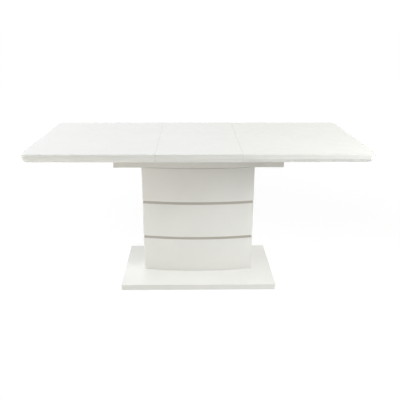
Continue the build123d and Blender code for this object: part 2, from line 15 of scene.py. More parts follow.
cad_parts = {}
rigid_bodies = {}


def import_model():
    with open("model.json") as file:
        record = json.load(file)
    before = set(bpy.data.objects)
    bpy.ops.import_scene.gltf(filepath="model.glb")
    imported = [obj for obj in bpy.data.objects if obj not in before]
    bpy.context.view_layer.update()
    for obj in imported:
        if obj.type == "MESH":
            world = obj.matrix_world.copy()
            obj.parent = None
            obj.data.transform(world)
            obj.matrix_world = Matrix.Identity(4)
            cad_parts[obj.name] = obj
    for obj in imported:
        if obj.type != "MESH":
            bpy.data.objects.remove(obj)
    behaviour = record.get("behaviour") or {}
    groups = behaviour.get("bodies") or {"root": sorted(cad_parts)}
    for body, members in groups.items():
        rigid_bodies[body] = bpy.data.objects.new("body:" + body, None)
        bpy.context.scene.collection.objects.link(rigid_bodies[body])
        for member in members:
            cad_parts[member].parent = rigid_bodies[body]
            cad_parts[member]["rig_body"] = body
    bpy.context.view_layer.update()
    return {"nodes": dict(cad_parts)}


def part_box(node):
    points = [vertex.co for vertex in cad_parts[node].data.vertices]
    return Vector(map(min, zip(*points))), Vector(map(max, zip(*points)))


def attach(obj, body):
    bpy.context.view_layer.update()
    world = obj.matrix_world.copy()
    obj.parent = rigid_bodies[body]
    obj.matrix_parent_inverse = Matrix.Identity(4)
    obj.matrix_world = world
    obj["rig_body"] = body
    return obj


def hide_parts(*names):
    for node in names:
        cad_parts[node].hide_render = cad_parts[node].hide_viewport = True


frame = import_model()
scene = bpy.context.scene

# ---------------------------------------------------------------- sizes, in metres
MM = 0.001
SHARP_ANGLE = math.radians(40)
FLAT_ANGLE = math.radians(0.5)
WELD_DISTANCE = 0.002 * MM

# Top: its edge is an upright face above an undercut
PANEL_ARRIS = 4.5 * MM
LEAF_ARRIS = 1.5 * MM
TOP_CORNER = 29 * MM
TOP_CORNER_LEAST = 1 * MM
UNDERCUT_HEIGHT = 16 * MM
UNDERCUT_INSET = 12 * MM
SHOULDER_ROUND = 1.6 * MM
UNDERSIDE_ROUND = 1.2 * MM
SEAM_ARRIS = 0.3 * MM
TOP_HALF_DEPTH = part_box("leaf_panel")[1].y

# Column: its front and back are arcs, and its four upright corners are rounded
COLUMN_HALF_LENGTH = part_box("lower_front_shell")[1].x
COLUMN_HALF_DEPTH = -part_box("lower_front_shell")[0].y
COLUMN_END_HALF_DEPTH = 64 * MM
COLUMN_CORNER = 7 * MM
SHELL_THICKNESS = 14 * MM
SHELL_ARRIS = 0.7 * MM
STRIP_RECESS = 2.5 * MM
STRIP_THICKNESS = 0.8 * MM
STRIP_ARRIS = 0.15 * MM
BOW_SAGITTA = COLUMN_HALF_DEPTH - COLUMN_END_HALF_DEPTH
BOW_RADIUS = (COLUMN_HALF_LENGTH**2 + BOW_SAGITTA**2) / (2 * BOW_SAGITTA)
BOW_CENTRE = BOW_RADIUS - COLUMN_HALF_DEPTH
BOW_STEPS = 28

# Small parts
BOARD_ARRIS = 0.6 * MM
METAL_ARRIS = 0.25 * MM
NUT_ACROSS_FLATS = 16 * MM
NUT_HEIGHT = 8 * MM
NUT_BORE = 5.05 * MM
NUT_CHAMFER = 0.7 * MM
NUT_CHAMFER_REACH = 1.7 * NUT_CHAMFER
WASHER_RADIUS = 10 * MM
WASHER_THICKNESS = 2 * MM
WASHER_BORE = 5.25 * MM
ROD_RADIUS = 5 * MM
ROD_POINT = 1 * MM
THREAD_ROWS = 6
THREAD_PITCH = 1.5 * MM
THREAD_DEPTH = 0.75 * MM
THREAD_LENGTH = 32 * MM
TURNED_STEPS = 36
SCREW_HEAD_RADIUS = 3.6 * MM
SCREW_HEAD_HEIGHT = 1.5 * MM
SCREW_HEAD_ROUND = 1.1 * MM
SCREW_HEAD_TEST = 2.5 * MM
SCREW_LENGTH = 10 * MM
SCREW_CORE = 1.4 * MM
SCREW_CREST = 1.9 * MM
SCREW_PITCH = 1.4 * MM
SCREW_POINT = 3 * MM
RECESS_REACH = 1.8 * MM
RECESS_HALF_WIDTH = 0.45 * MM
RECESS_DEPTH = 0.9 * MM
RECESS_TAPER = 0.6
GLIDE_FOOT = 2 * MM
GLIDE_FOOT_CHAMFER = 0.6 * MM
GLIDE_RIM_CHAMFER = 0.3 * MM
GLIDE_DIMPLE = 0.4 * MM
GLIDE_DIMPLES = ((0.2, 1), (0.25, 0), (0.6, 0), (0.63, 1), (0.69, 1), (0.72, 0))
GLIDE_STEM = 4 * MM
GLIDE_BARBS = 4
GLIDE_BARB = 0.5 * MM
PEG_CHAMFER = 1.2 * MM
FLUTE_DEPTH = 0.3 * MM
FLUTES = 12
RAIL_ARRIS = 0.15 * MM
FLOOR_REACH = 60


# ---------------------------------------------------------------- materials
def new_material(name, colour, roughness, **sockets):
    """A material with one Principled shader; sockets holds the values that are even all over."""
    material = bpy.data.materials.new(name)
    material.use_nodes = True
    shader = material.node_tree.nodes["Principled BSDF"]
    shader.inputs["Base Color"].default_value = (*colour, 1)
    shader.inputs["Roughness"].default_value = roughness
    for socket, value in sockets.items():
        shader.inputs[socket.replace("_", " ")].default_value = value
    return material, material.node_tree, shader


def noise(tree, scale, detail=3.0, stretch=(1, 1, 1), roughness=0.5):
    """A noise texture in object space; stretch squeezes it along an axis to make streaks."""
    place = tree.nodes.new("ShaderNodeTexCoord")
    mapping = tree.nodes.new("ShaderNodeMapping")
    mapping.inputs["Scale"].default_value = stretch
    texture = tree.nodes.new("ShaderNodeTexNoise")
    texture.inputs["Scale"].default_value = scale
    texture.inputs["Detail"].default_value = detail
    texture.inputs["Roughness"].default_value = roughness
    tree.links.new(place.outputs["Object"], mapping.inputs["Vector"])
    tree.links.new(mapping.outputs["Vector"], texture.inputs["Vector"])
    return texture.outputs["Fac"]


def ramp(tree, value, stops):
    """Colours by value: stops are (position, (red, green, blue)) pairs."""
    node = tree.nodes.new("ShaderNodeValToRGB")
    elements = node.color_ramp.elements
    while len(elements) < len(stops):
        elements.new(0.5)
    for element, (position, colour) in zip(elements, stops):
        element.position = position
        element.color = (*colour, 1)
    tree.links.new(value, node.inputs["Fac"])
    return node.outputs["Color"]


def spread(tree, value, low, high, start=0.3, stop=0.7):
    """Maps a value onto a range of numbers; a noise value lies mostly between 0.3 and 0.7."""
    node = tree.nodes.new("ShaderNodeMapRange")
    node.inputs["From Min"].default_value = start
    node.inputs["From Max"].default_value = stop
    node.inputs["To Min"].default_value = low
    node.inputs["To Max"].default_value = high
    tree.links.new(value, node.inputs["Value"])
    return node.outputs["Result"]


def mix(tree, factor, first, second, blend="MIX"):
    """Mixes two colours by a factor that may be a socket or a number."""
    node = tree.nodes.new("ShaderNodeMix")
    node.data_type = "RGBA"
    node.blend_type = blend
    for socket, value in (("Factor_Float", factor), ("A_Color", first), ("B_Color", second)):
        target = next(s for s in node.inputs if s.identifier == socket)
        if isinstance(value, bpy.types.NodeSocket):
            tree.links.new(value, target)
        else:
            target.default_value = value
    return next(s for s in node.outputs if s.identifier == "Result_Color")


def bump(tree, shader, layers):
    """Stacks bumps on a shader: layers are (height socket, distance in metres, strength)."""
    normal = None
    for height, distance, strength in layers:
        node = tree.nodes.new("ShaderNodeBump")
        node.inputs["Strength"].default_value = strength
        node.inputs["Distance"].default_value = distance
        tree.links.new(height, node.inputs["Height"])
        if normal:
            tree.links.new(normal, node.inputs["Normal"])
        normal = node.outputs["Normal"]
    tree.links.new(normal, shader.inputs["Normal"])


def edge_mask(tree, radius):
    """One on edges, zero on flats: where a rounded normal turns away from the true one."""
    rounded_normal = tree.nodes.new("ShaderNodeBevel")
    rounded_normal.inputs["Radius"].default_value = radius
    rounded_normal.samples = 4
    surface = tree.nodes.new("ShaderNodeNewGeometry")
    facing = tree.nodes.new("ShaderNodeVectorMath")
    facing.operation = "DOT_PRODUCT"
    tree.links.new(rounded_normal.outputs["Normal"], facing.inputs[0])
    tree.links.new(surface.outputs["True Normal"], facing.inputs[1])
    edge = tree.nodes.new("ShaderNodeMapRange")
    edge.inputs["From Min"].default_value = 0.99
    edge.inputs["From Max"].default_value = 0.85
    tree.links.new(facing.outputs["Value"], edge.inputs["Value"])
    return edge.outputs["Result"]


def gloss_lacquer():
    """Sprayed white gloss: faint orange peel, a cloudy gloss and softly rubbed edges."""
    material, tree, shader = new_material(
        "gloss_lacquer", (0.86, 0.855, 0.835), 0.16, Coat_Weight=0.5, Coat_Roughness=0.05
    )
    cloud = noise(tree, 6, 4)
    tint = ramp(tree, cloud, [(0.35, (0.852, 0.848, 0.826)), (0.65, (0.872, 0.868, 0.848))])
    rubbed = mix(tree, edge_mask(tree, 0.8 * MM), tint, (0.835, 0.828, 0.806, 1))
    tree.links.new(rubbed, shader.inputs["Base Color"])
    tree.links.new(spread(tree, noise(tree, 38, 5), 0.12, 0.2), shader.inputs["Roughness"])
    orange_peel = noise(tree, 260, 1)
    dust = noise(tree, 1800, 2)
    bump(tree, shader, [(orange_peel, 0.02 * MM, 0.5), (dust, 0.002 * MM, 0.5)])
    return material


def matt_primer():
    """The rolled white primer on undersides, flatter and coarser than the gloss."""
    material, tree, shader = new_material("matt_primer", (0.8, 0.79, 0.765), 0.55)
    tint = ramp(tree, noise(tree, 14, 5), [(0.3, (0.76, 0.75, 0.72)), (0.7, (0.82, 0.81, 0.785))])
    tree.links.new(tint, shader.inputs["Base Color"])
    tree.links.new(spread(tree, noise(tree, 60, 3), 0.48, 0.62), shader.inputs["Roughness"])
    bump(tree, shader, [(noise(tree, 700, 3), 0.06 * MM, 0.6)])
    return material


def raw_fibreboard():
    """Bare fibreboard: packed fibres with pale and dark flecks."""
    material, tree, shader = new_material("raw_fibreboard", (0.62, 0.5, 0.37), 0.85)
    fibres = noise(tree, 900, 6, (1, 1, 2))
    base = ramp(tree, fibres, [(0.3, (0.5, 0.38, 0.26)), (0.7, (0.7, 0.57, 0.43))])
    flecks = ramp(tree, noise(tree, 420, 2), [(0.6, (0, 0, 0)), (0.72, (1, 1, 1))])
    tree.links.new(mix(tree, flecks, base, (0.36, 0.26, 0.17, 1)), shader.inputs["Base Color"])
    bump(tree, shader, [(noise(tree, 1400, 4), 0.08 * MM, 0.6)])
    return material


def brushed_strip():
    """Warm brushed steel; its fine scratches run along the strip, across z."""
    material, tree, shader = new_material(
        "brushed_strip",
        (0.5, 0.465, 0.415),
        0.34,
        Metallic=1.0,
        Anisotropic=0.8,
        Anisotropic_Rotation=0.25,
    )
    lines = noise(tree, 5, 4, (3, 3, 700), 0.7)
    tint = ramp(tree, lines, [(0.3, (0.44, 0.41, 0.365)), (0.7, (0.6, 0.565, 0.51))])
    tree.links.new(tint, shader.inputs["Base Color"])
    tree.links.new(spread(tree, lines, 0.26, 0.44), shader.inputs["Roughness"])
    bump(tree, shader, [(lines, 0.01 * MM, 0.6)])
    return material


def zinc_plate():
    """Bright zinc plating with a faint crystal pattern and a cloudy chromate film."""
    material, tree, shader = new_material("zinc_plate", (0.66, 0.67, 0.69), 0.33, Metallic=1.0)
    place = tree.nodes.new("ShaderNodeTexCoord")
    crystals = tree.nodes.new("ShaderNodeTexVoronoi")
    crystals.inputs["Scale"].default_value = 260
    tree.links.new(place.outputs["Object"], crystals.inputs["Vector"])
    spangle = ramp(
        tree, crystals.outputs["Distance"], [(0.0, (0.72, 0.73, 0.75)), (0.9, (0.58, 0.59, 0.615))]
    )
    film = ramp(tree, noise(tree, 55, 3), [(0.45, (0.66, 0.67, 0.69)), (0.7, (0.72, 0.69, 0.58))])
    tree.links.new(mix(tree, 0.35, spangle, film), shader.inputs["Base Color"])
    tree.links.new(spread(tree, noise(tree, 320, 4), 0.26, 0.42), shader.inputs["Roughness"])
    bump(tree, shader, [(noise(tree, 900, 3), 0.01 * MM, 0.6)])
    return material


def slide_steel():
    """Cold-rolled steel of the slides, drawn along X, with a trace of grease."""
    material, tree, shader = new_material("slide_steel", (0.58, 0.59, 0.61), 0.3, Metallic=1.0)
    lines = noise(tree, 6, 4, (2, 260, 260), 0.65)
    tint = ramp(tree, lines, [(0.3, (0.5, 0.51, 0.53)), (0.7, (0.66, 0.67, 0.69))])
    tree.links.new(tint, shader.inputs["Base Color"])
    tree.links.new(spread(tree, noise(tree, 40, 4), 0.2, 0.42), shader.inputs["Roughness"])
    bump(tree, shader, [(lines, 0.01 * MM, 0.5)])
    return material


def beech(name, along):
    """Planed beech with its grain along one axis, and the short dark flecks of its rays."""
    material, tree, shader = new_material(name, (0.76, 0.6, 0.43), 0.55)
    grain = tuple(1.2 if axis == along else 22 for axis in "XYZ")
    ray = tuple(14 if axis == along else 120 for axis in "XYZ")
    rings = noise(tree, 4, 5, grain, 0.6)
    wood = ramp(
        tree, rings, [(0.28, (0.6, 0.4, 0.25)), (0.5, (0.72, 0.52, 0.34)), (0.72, (0.79, 0.61, 0.43))]
    )
    flecks = ramp(tree, noise(tree, 9, 2, ray), [(0.6, (0, 0, 0)), (0.68, (1, 1, 1))])
    tree.links.new(mix(tree, flecks, wood, (0.45, 0.28, 0.17, 1)), shader.inputs["Base Color"])
    tree.links.new(spread(tree, rings, 0.46, 0.64), shader.inputs["Roughness"])
    bump(tree, shader, [(rings, 0.08 * MM, 0.5), (flecks, 0.05 * MM, 0.4)])
    return material


def pressed_felt():
    """Dark pressed felt: a tangle of fibres with a soft sheen."""
    material, tree, shader = new_material(
        "pressed_felt", (0.34, 0.33, 0.32), 0.95, Sheen_Weight=0.5, Sheen_Roughness=0.6
    )
    fibres = noise(tree, 1500, 6, (1, 1, 1), 0.75)
    tint = ramp(tree, fibres, [(0.3, (0.2, 0.195, 0.19)), (0.7, (0.42, 0.41, 0.4))])
    tree.links.new(tint, shader.inputs["Base Color"])
    bump(tree, shader, [(fibres, 0.25 * MM, 0.9)])
    return material


def moulded_plastic():
    """Grey moulded plastic with a fine spark-eroded grain."""
    material, tree, shader = new_material("moulded_plastic", (0.45, 0.45, 0.46), 0.5)
    grain = noise(tree, 1600, 2)
    tint = ramp(tree, noise(tree, 50, 3), [(0.3, (0.42, 0.42, 0.43)), (0.7, (0.48, 0.48, 0.49))])
    tree.links.new(tint, shader.inputs["Base Color"])
    tree.links.new(spread(tree, grain, 0.42, 0.58), shader.inputs["Roughness"])
    bump(tree, shader, [(grain, 0.04 * MM, 0.6)])
    return material


LACQUER = gloss_lacquer()
PRIMER = matt_primer()
FIBREBOARD = raw_fibreboard()
STRIP = brushed_strip()
ZINC = zinc_plate()
SLIDE = slide_steel()
BEECH_ALONG = beech("beech_along", "X")
BEECH_ACROSS = beech("beech_across", "Y")
BEECH_UPRIGHT = beech("beech_upright", "Z")
FELT = pressed_felt()
PLASTIC = moulded_plastic()


# ---------------------------------------------------------------- outlines
def corner_arc(before, corner, after, radius, steps):
    """The arc that rounds a corner between two neighbours; no radius keeps the corner."""
    corner = Vector(corner)
    if radius <= 0:
        return [corner]
    back = (Vector(before) - corner).normalized()
    on = (Vector(after) - corner).normalized()
    half = back.angle(on) / 2
    centre = corner + (back + on).normalized() * radius / math.sin(half)
    start = corner + back * radius / math.tan(half) - centre
    end = corner + on * radius / math.tan(half) - centre
    first = math.atan2(start.y, start.x)
    turn = math.remainder(math.atan2(end.y, end.x) - first, math.tau)
    angles = [first + turn * step / steps for step in range(steps + 1)]
    return [centre + Vector((math.cos(a), math.sin(a))) * radius for a in angles]


def rounded_loop(corners, radii, steps=6):
    """A closed outline with each corner rounded by its own radius."""
    count = len(corners)
    loop = []
    for i, radius in enumerate(radii):
        loop += corner_arc(corners[i - 1], corners[i], corners[(i + 1) % count], radius, steps)
    return loop


def rectangle(low_x, high_x, low_y, high_y):
    return [(low_x, low_y), (high_x, low_y), (high_x, high_y), (low_x, high_y)]


def circle(radius, steps=TURNED_STEPS):
    turns = [math.tau * step / steps for step in range(steps)]
    return [(radius * math.cos(turn), radius * math.sin(turn)) for turn in turns]


def bow_path(inset, cut):
    """The column's front outline, drawn in by an inset, between its two ends at y = -cut."""
    radius = BOW_RADIUS - inset
    corner = COLUMN_CORNER - inset
    corner_x = COLUMN_HALF_LENGTH - COLUMN_CORNER
    corner_y = BOW_CENTRE - math.sqrt((BOW_RADIUS - COLUMN_CORNER) ** 2 - corner_x**2)
    end_x = COLUMN_HALF_LENGTH - inset
    last = math.atan2(corner_x, BOW_CENTRE - corner_y) if corner > 0 else math.asin(end_x / radius)
    turns = [last * step / BOW_STEPS for step in range(BOW_STEPS + 1)]
    right = [(radius * math.sin(a), BOW_CENTRE - radius * math.cos(a)) for a in turns]
    if corner > 0:
        turns = [last + (math.pi / 2 - last) * step / 8 for step in range(1, 9)]
        right += [(corner_x + corner * math.sin(a), corner_y - corner * math.cos(a)) for a in turns]
    right.append((end_x, -cut))
    left = [(-x, y) for x, y in reversed(right[1:])]
    return left + right


def flipped(path):
    """A path's mirror image in the XZ plane, run the other way."""
    return [(x, -y) for x, y in reversed(path)]


# ---------------------------------------------------------------- solids
def loft(rings):
    """A solid through rings of equally many points, closed by a face at each end."""
    work = bmesh.new()
    rows = [[work.verts.new(point) for point in ring] for ring in rings]
    for lower, upper in zip(rows, rows[1:]):
        for i, corner in enumerate(lower):
            j = (i + 1) % len(lower)
            work.faces.new((corner, lower[j], upper[j], upper[i]))
    work.faces.new(list(reversed(rows[0])))
    work.faces.new(rows[-1])
    return work


def tube(rings):
    """A solid like a washer: each ring is a closed section, and the last meets the first."""
    work = bmesh.new()
    rows = [[work.verts.new(point) for point in ring] for ring in rings]
    for k, row in enumerate(rows):
        beside = rows[(k + 1) % len(rows)]
        for i, corner in enumerate(row):
            j = (i + 1) % len(row)
            work.faces.new((corner, row[j], beside[j], beside[i]))
    return work


def turned(profile, steps=TURNED_STEPS):
    """A solid turned about Z; the profile is (radius, height) pairs from its foot to its top."""
    return loft([[(x, y, z) for x, y in circle(radius, steps)] for radius, z in profile])


def prism(outline, low, high):
    """A board with this plan, from z = low to z = high."""
    return loft([[(x, y, z) for x, y in outline] for z in (low, high)])


def round_edges(work, width, segments=3):
    """Rounds every sharp edge of a solid."""
    bmesh.ops.recalc_face_normals(work, faces=work.faces)
    sharp = [edge for edge in work.edges if edge.calc_face_angle(0) > SHARP_ANGLE]
    bmesh.ops.bevel(
        work, geom=sharp, offset=width, segments=segments, profile=0.5, affect="EDGES"
    )
    return work


def joined(solid, places):
    """One mesh with a copy of a solid at each place; a place is a matrix."""
    work = bmesh.new()
    part = bpy.data.meshes.new("part")
    solid.to_mesh(part)
    solid.free()
    for place in places:
        copy = part.copy()
        copy.transform(place)
        work.from_mesh(copy)
        bpy.data.meshes.remove(copy)
    bpy.data.meshes.remove(part)
    return work


def piece(name, work, materials, nodes, pick=None):
    """Makes the object for a solid, riding on the body of the CAD nodes that it stands for."""
    bmesh.ops.recalc_face_normals(work, faces=work.faces)
    if pick:
        for face in work.faces:
            face.material_index = pick(face)
    mesh = bpy.data.meshes.new(name)
    work.to_mesh(mesh)
    work.free()
    mesh.shade_smooth()
    for material in materials:
        mesh.materials.append(material)
    made = bpy.data.objects.new(name, mesh)
    scene.collection.objects.link(made)
    even = made.modifiers.new("even_normals", "WEIGHTED_NORMAL")
    even.keep_sharp = True
    body = frame["nodes"][nodes[0]]["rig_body"]
    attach(made, body)
    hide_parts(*nodes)
    return made


def dress(node, material):
    """Keeps a CAD node as it is and gives it its finish."""
    for place in frame["nodes"][node].material_slots:
        place.material = material


def refined(node, name, materials, arris, pick=None):
    """Stands for a CAD node with the same solid, its flats made whole and its edges rounded."""
    work = bmesh.new()
    work.from_mesh(frame["nodes"][node].data)
    bmesh.ops.remove_doubles(work, verts=work.verts, dist=WELD_DISTANCE)
    bmesh.ops.dissolve_limit(
        work, angle_limit=FLAT_ANGLE, verts=work.verts, edges=work.edges, delimit=set()
    )
    return piece(name, round_edges(work, arris, 2), materials, (node,), pick)


def solids_of(node):
    """The lowest and highest corners of each separate solid of a CAD node."""
    work = bmesh.new()
    work.from_mesh(frame["nodes"][node].data)
    bmesh.ops.remove_doubles(work, verts=work.verts, dist=WELD_DISTANCE)
    left = set(work.verts)
    corners = []
    while left:
        reached = [left.pop()]
        for vert in reached:
            beside = {edge.other_vert(vert) for edge in vert.link_edges} & left
            left -= beside
            reached += beside
        low = Vector([min(vert.co[axis] for vert in reached) for axis in range(3)])
        high = Vector([max(vert.co[axis] for vert in reached) for axis in range(3)])
        corners.append((low, high))
    work.free()
    return sorted(corners, key=lambda pair: tuple(pair[0]))


# ---------------------------------------------------------------- the top
def faces_down(face):
    """Material 1, the primer, goes on the flat underside."""
    return 1 if face.normal.z < -0.99 else 0


def top_section(name, node, arris, outer_left, outer_right):
    """A stretch of the top with its profiled edge on the front, the back and any outer end."""
    low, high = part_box(node)
    shoulder = low.z + UNDERCUT_HEIGHT
    flat = 4 * UNDERCUT_INSET
    section = [(flat, low.z), (UNDERCUT_INSET, low.z), (0, shoulder), (0, high.z), (flat, high.z)]
    radii = (UNDERSIDE_ROUND, SHOULDER_ROUND, arris)
    edge = []
    for i, radius in enumerate(radii, start=1):
        edge += corner_arc(section[i - 1], section[i], section[i + 1], radius, 8)
    rings = []
    for inset, z in edge:
        plan = rectangle(
            low.x + inset * outer_left,
            high.x - inset * outer_right,
            -TOP_HALF_DEPTH + inset,
            TOP_HALF_DEPTH - inset,
        )
        corner = max(TOP_CORNER - inset, TOP_CORNER_LEAST)
        left, right = corner * outer_left, corner * outer_right
        loop = rounded_loop(plan, (left, right, right, left), 8)
        rings.append([(x, y, z) for x, y in loop])
    work = round_edges(loft(rings), SEAM_ARRIS)
    return piece(name, work, (LACQUER, PRIMER), (node,), faces_down)


top_section("half_top_left", "left_panel", PANEL_ARRIS, True, False)
top_section("half_top_right", "right_panel", PANEL_ARRIS, False, True)
top_section("leaf", "leaf_panel", LEAF_ARRIS, False, False)


# ---------------------------------------------------------------- the column
cheek_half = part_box("lower_left_cheek")[1].y
shell_front = bow_path(0, cheek_half) + list(reversed(bow_path(SHELL_THICKNESS, cheek_half)))

for segment in ("lower", "middle", "upper"):
    low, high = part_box(f"{segment}_front_shell")
    for side, outline in (("front", shell_front), ("back", flipped(shell_front))):
        node = f"{segment}_{side}_shell"
        shell = round_edges(prism(outline, low.z, high.z), SHELL_ARRIS)
        piece(f"{node}_bowed", shell, (LACQUER,), (node,))
    for side in ("left", "right"):
        node = f"{segment}_{side}_cheek"
        low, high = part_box(node)
        plan = rectangle(low.x, high.x, low.y, high.y)
        cheek = round_edges(prism(plan, low.z, high.z), SHELL_ARRIS)
        piece(f"{node}_flat", cheek, (LACQUER,), (node,))
    dress(f"{segment}_formers", FIBREBOARD)

for level in ("lower", "upper"):
    low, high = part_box(f"{level}_front_strip")
    cut = -high.y
    outer = bow_path(STRIP_RECESS, cut)
    inner = bow_path(STRIP_RECESS + STRIP_THICKNESS, cut)
    strip_front = outer + list(reversed(inner))
    for side, outline in (("front", strip_front), ("back", flipped(strip_front))):
        node = f"{level}_{side}_strip"
        band = round_edges(prism(outline, low.z, high.z), STRIP_ARRIS, 2)
        piece(f"{node}_brushed", band, (STRIP,), (node,))
    dress(f"{level}_spacer", FIBREBOARD)

low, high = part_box("neck_block")
whole_plan = bow_path(0, 0) + flipped(bow_path(0, 0))[1:-1]
neck = round_edges(prism(whole_plan, low.z, high.z), SHELL_ARRIS)
piece("neck", neck, (LACQUER,), ("neck_block",))
dress("neck_spacer", LACQUER)


# ---------------------------------------------------------------- base and frame
refined("base_plate", "base_slab", (LACQUER, PRIMER), BOARD_ARRIS, faces_down)
for node in ("frame_front_rail", "frame_back_rail", "frame_left_end", "frame_right_end"):
    refined(node, f"{node}_board", (LACQUER,), BOARD_ARRIS)
refined("frame_floor", "frame_floor_board", (PRIMER,), BOARD_ARRIS)
refined("leaf_pads", "felt_pads", (FELT,), BOARD_ARRIS)


def glide(height, radius):
    """A moulded glide with a dimpled, ringed foot and a barbed stem, its foot at z = 0."""
    core = GLIDE_STEM - GLIDE_BARB
    profile = [(radius * part, GLIDE_DIMPLE * depth) for part, depth in GLIDE_DIMPLES]
    profile += [
        (radius - GLIDE_FOOT_CHAMFER, 0),
        (radius, GLIDE_FOOT_CHAMFER),
        (radius, GLIDE_FOOT - GLIDE_RIM_CHAMFER),
        (radius - GLIDE_RIM_CHAMFER, GLIDE_FOOT),
        (core, GLIDE_FOOT),
    ]
    pitch = (height - GLIDE_FOOT) / GLIDE_BARBS
    for barb in range(GLIDE_BARBS):
        start = GLIDE_FOOT + barb * pitch
        profile.append((core, start + 0.1 * pitch))
        profile.append((GLIDE_STEM, start + 0.25 * pitch))
        profile.append((core, start + 0.95 * pitch))
    return turned(profile, TURNED_STEPS * 2)


def fluted_peg(length, radius):
    """A fluted beech peg with chamfered ends, its lower end at z = 0."""
    levels = (
        (0, radius - PEG_CHAMFER, 0),
        (PEG_CHAMFER, radius, 1),
        (length - PEG_CHAMFER, radius, 1),
        (length, radius - PEG_CHAMFER, 0),
    )
    rings = []
    for z, reach, cut in levels:
        ring = []
        for x, y in circle(1, FLUTES * 8):
            groove = FLUTE_DEPTH * cut * max(0.0, math.cos(FLUTES * math.atan2(y, x)))
            ring.append((x * (reach - groove), y * (reach - groove), z))
        rings.append(ring)
    return loft(rings)


def standing(node):
    """The foot centre of each upright solid of a node, with one solid's height and radius."""
    solids = solids_of(node)
    places = [Matrix.Translation(((a.x + b.x) / 2, (a.y + b.y) / 2, a.z)) for a, b in solids]
    low, high = solids[0]
    return places, high.z - low.z, (high.x - low.x) / 2


glide_places, glide_height, glide_radius = standing("base_glides")
glides = joined(glide(glide_height, glide_radius), glide_places)
piece("moulded_glides", glides, (PLASTIC,), ("base_glides",))

peg_places, peg_length, peg_radius = standing("leaf_pegs")
pegs = joined(fluted_peg(peg_length, peg_radius), peg_places)
piece("fluted_pegs", pegs, (BEECH_UPRIGHT,), ("leaf_pegs",))


# ---------------------------------------------------------------- rods and their fixings
def hexagon_radius(turn):
    """Distance from a hexagon's centre to its side, in a direction."""
    sixth = math.pi / 3
    return NUT_ACROSS_FLATS / 2 / math.cos(math.remainder(turn, sixth))


def nut(height):
    """A hexagon nut with chamfered corners, its underside at z = 0."""
    levels = (
        (0.0, 0.0),
        (NUT_CHAMFER / 2, NUT_CHAMFER_REACH / 2),
        (NUT_CHAMFER, NUT_CHAMFER_REACH),
        (height - NUT_CHAMFER, NUT_CHAMFER_REACH),
        (height - NUT_CHAMFER / 2, NUT_CHAMFER_REACH / 2),
        (height, 0.0),
    )
    rings = []
    for step in range(TURNED_STEPS * 2):
        turn = math.tau * step / (TURNED_STEPS * 2)
        around = Vector((math.cos(turn), math.sin(turn), 0))
        side = hexagon_radius(turn)
        section = [(min(side, NUT_ACROSS_FLATS / 2 + reach), z) for z, reach in levels]
        section += [(NUT_BORE, height), (NUT_BORE, 0)]
        rings.append([around * radius + Vector((0, 0, z)) for radius, z in section])
    return tube(rings)


def washer(thickness):
    """A flat washer with rounded edges, its underside at z = 0."""
    section = rounded_loop(
        rectangle(WASHER_BORE, WASHER_RADIUS, 0, thickness), (METAL_ARRIS,) * 4, 3
    )
    rings = []
    for step in range(TURNED_STEPS):
        turn = math.tau * step / TURNED_STEPS
        rings.append([(r * math.cos(turn), r * math.sin(turn), z) for r, z in section])
    return tube(rings)


def threaded_rod(length):
    """A rod with a screw thread cut on each end, its lower end at z = 0."""
    count = int(THREAD_LENGTH / THREAD_PITCH * THREAD_ROWS)
    levels = [THREAD_LENGTH * row / count for row in range(count + 1)]
    levels += [length - z for z in reversed(levels)]
    rings = []
    for z in levels:
        from_end = min(z, length - z)
        cut = min(1.0, (THREAD_LENGTH - from_end) / THREAD_PITCH)
        point = max(0.0, ROD_POINT - from_end)
        ring = []
        for x, y in circle(1):
            phase = (z / THREAD_PITCH - math.atan2(y, x) / math.tau) % 1
            groove = THREAD_DEPTH * cut * abs(2 * phase - 1)
            radius = min(ROD_RADIUS - groove, ROD_RADIUS - point)
            ring.append((x * radius, y * radius, z))
        rings.append(ring)
    return loft(rings)


rod_low, rod_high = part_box("tie_rods")
rod_spots = [
    (x, y)
    for x in (rod_low.x + ROD_RADIUS, rod_high.x - ROD_RADIUS)
    for y in (rod_low.y + ROD_RADIUS, rod_high.y - ROD_RADIUS)
]
rod_places = [Matrix.Translation((x, y, rod_low.z)) for x, y in rod_spots]
rods = joined(threaded_rod(rod_high.z - rod_low.z), rod_places)
piece("threaded_rods", rods, (ZINC,), ("tie_rods",))

nut_low, nut_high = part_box("rod_nuts")
nut_places = [
    Matrix.Translation((x, y, z)) for x, y in rod_spots for z in (nut_low.z, nut_high.z - NUT_HEIGHT)
]
piece("hexagon_nuts", joined(nut(NUT_HEIGHT), nut_places), (ZINC,), ("rod_nuts",))

washer_low, washer_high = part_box("rod_washers")
washer_places = [
    Matrix.Translation((x, y, z))
    for x, y in rod_spots
    for z in (washer_low.z, washer_high.z - WASHER_THICKNESS)
]
flat_washers = joined(washer(WASHER_THICKNESS), washer_places)
piece("flat_washers", flat_washers, (ZINC,), ("rod_washers",))
refined("clamp_plate", "clamping_plate", (ZINC,), METAL_ARRIS)
refined("frame_brackets", "angle_brackets", (ZINC,), METAL_ARRIS)


def cross(half_width, reach):
    """The outline of a cross recess, anticlockwise."""
    arm = [(reach, -half_width), (reach, half_width), (half_width, half_width)]
    outline = []
    for cosine, sine in ((1, 0), (0, 1), (-1, 0), (0, -1)):
        outline += [(x * cosine - y * sine, x * sine + y * cosine) for x, y in arm]
    return outline


